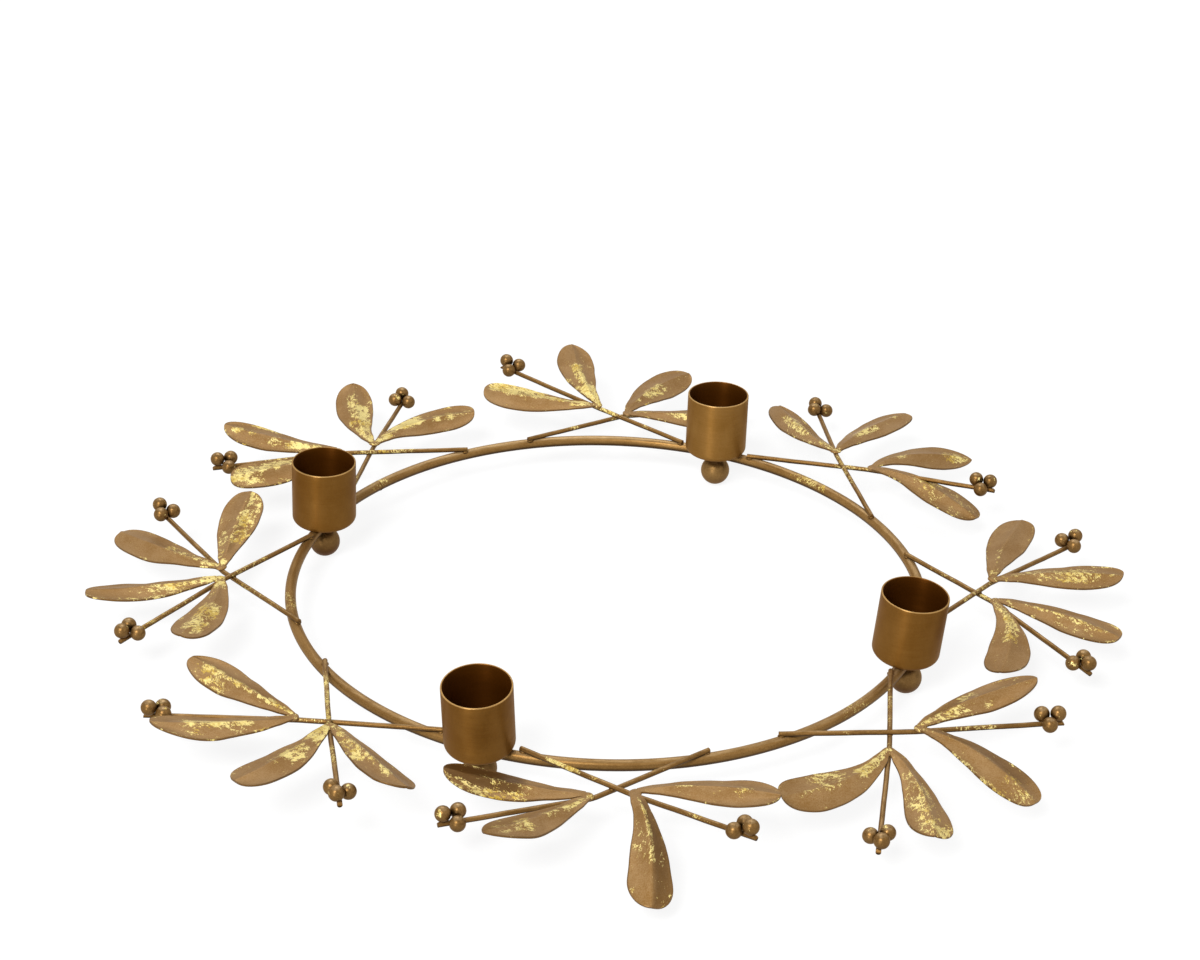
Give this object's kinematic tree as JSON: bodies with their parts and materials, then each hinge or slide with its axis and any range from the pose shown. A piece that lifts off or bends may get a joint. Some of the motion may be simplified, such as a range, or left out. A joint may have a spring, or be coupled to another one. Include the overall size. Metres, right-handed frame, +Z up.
{
  "type": "candle ring",
  "caption": "Wire candle ring on ball feet with open cups for thin candles and crossed twig sprays of creased leaves and berries, painted antique gold.",
  "frame": {"origin": "centre of the ring, on the floor plane under the ball feet", "axes": "+Z up along the ring's axis; +X to the right and -Y towards the viewer of the picture"},
  "size_m": [0.3742, 0.3657, 0.0409],
  "materials": {
    "rod_paint": "satin antique gold",
    "cup_paint": "satin antique gold",
    "twig_paint": "satin antique gold with flakes of gold leaf",
    "leaf_paint": "matt antique gold with patches of gold leaf",
    "berry_paint": "satin antique gold"
  },
  "bodies": {
    "root": {"ring": "rod_paint", "ball_foot_1": "rod_paint", "candle_cup_1": "cup_paint", "ball_foot_2": "rod_paint", "candle_cup_2": "cup_paint", "ball_foot_3": "rod_paint", "candle_cup_3": "cup_paint", "ball_foot_4": "rod_paint", "candle_cup_4": "cup_paint", "spray_1_lower_stem": "twig_paint", "spray_1_lower_leaves": "leaf_paint", "spray_1_lower_berries": "berry_paint", "spray_1_upper_stem": "twig_paint", "spray_1_upper_leaves": "leaf_paint", "spray_1_upper_berries": "berry_paint", "spray_2_lower_stem": "twig_paint", "spray_2_lower_leaves": "leaf_paint", "spray_2_lower_berries": "berry_paint", "spray_2_upper_stem": "twig_paint", "spray_2_upper_leaves": "leaf_paint", "spray_2_upper_berries": "berry_paint", "spray_3_lower_stem": "twig_paint", "spray_3_lower_leaves": "leaf_paint", "spray_3_lower_berries": "berry_paint", "spray_3_upper_stem": "twig_paint", "spray_3_upper_leaves": "leaf_paint", "spray_3_upper_berries": "berry_paint", "spray_4_lower_stem": "twig_paint", "spray_4_lower_leaves": "leaf_paint", "spray_4_lower_berries": "berry_paint", "spray_4_upper_stem": "twig_paint", "spray_4_upper_leaves": "leaf_paint", "spray_4_upper_berries": "berry_paint", "spray_5_lower_stem": "twig_paint", "spray_5_lower_leaves": "leaf_paint", "spray_5_lower_berries": "berry_paint", "spray_5_upper_stem": "twig_paint", "spray_5_upper_leaves": "leaf_paint", "spray_5_upper_berries": "berry_paint", "spray_6_lower_stem": "twig_paint", "spray_6_lower_leaves": "leaf_paint", "spray_6_lower_berries": "berry_paint", "spray_6_upper_stem": "twig_paint", "spray_6_upper_leaves": "leaf_paint", "spray_6_upper_berries": "berry_paint", "spray_7_lower_stem": "twig_paint", "spray_7_lower_leaves": "leaf_paint", "spray_7_lower_berries": "berry_paint", "spray_7_upper_stem": "twig_paint", "spray_7_upper_leaves": "leaf_paint", "spray_7_upper_berries": "berry_paint", "spray_8_lower_stem": "twig_paint", "spray_8_lower_leaves": "leaf_paint", "spray_8_lower_berries": "berry_paint", "spray_8_upper_stem": "twig_paint", "spray_8_upper_leaves": "leaf_paint", "spray_8_upper_berries": "berry_paint"}
  },
  "joints": []
}
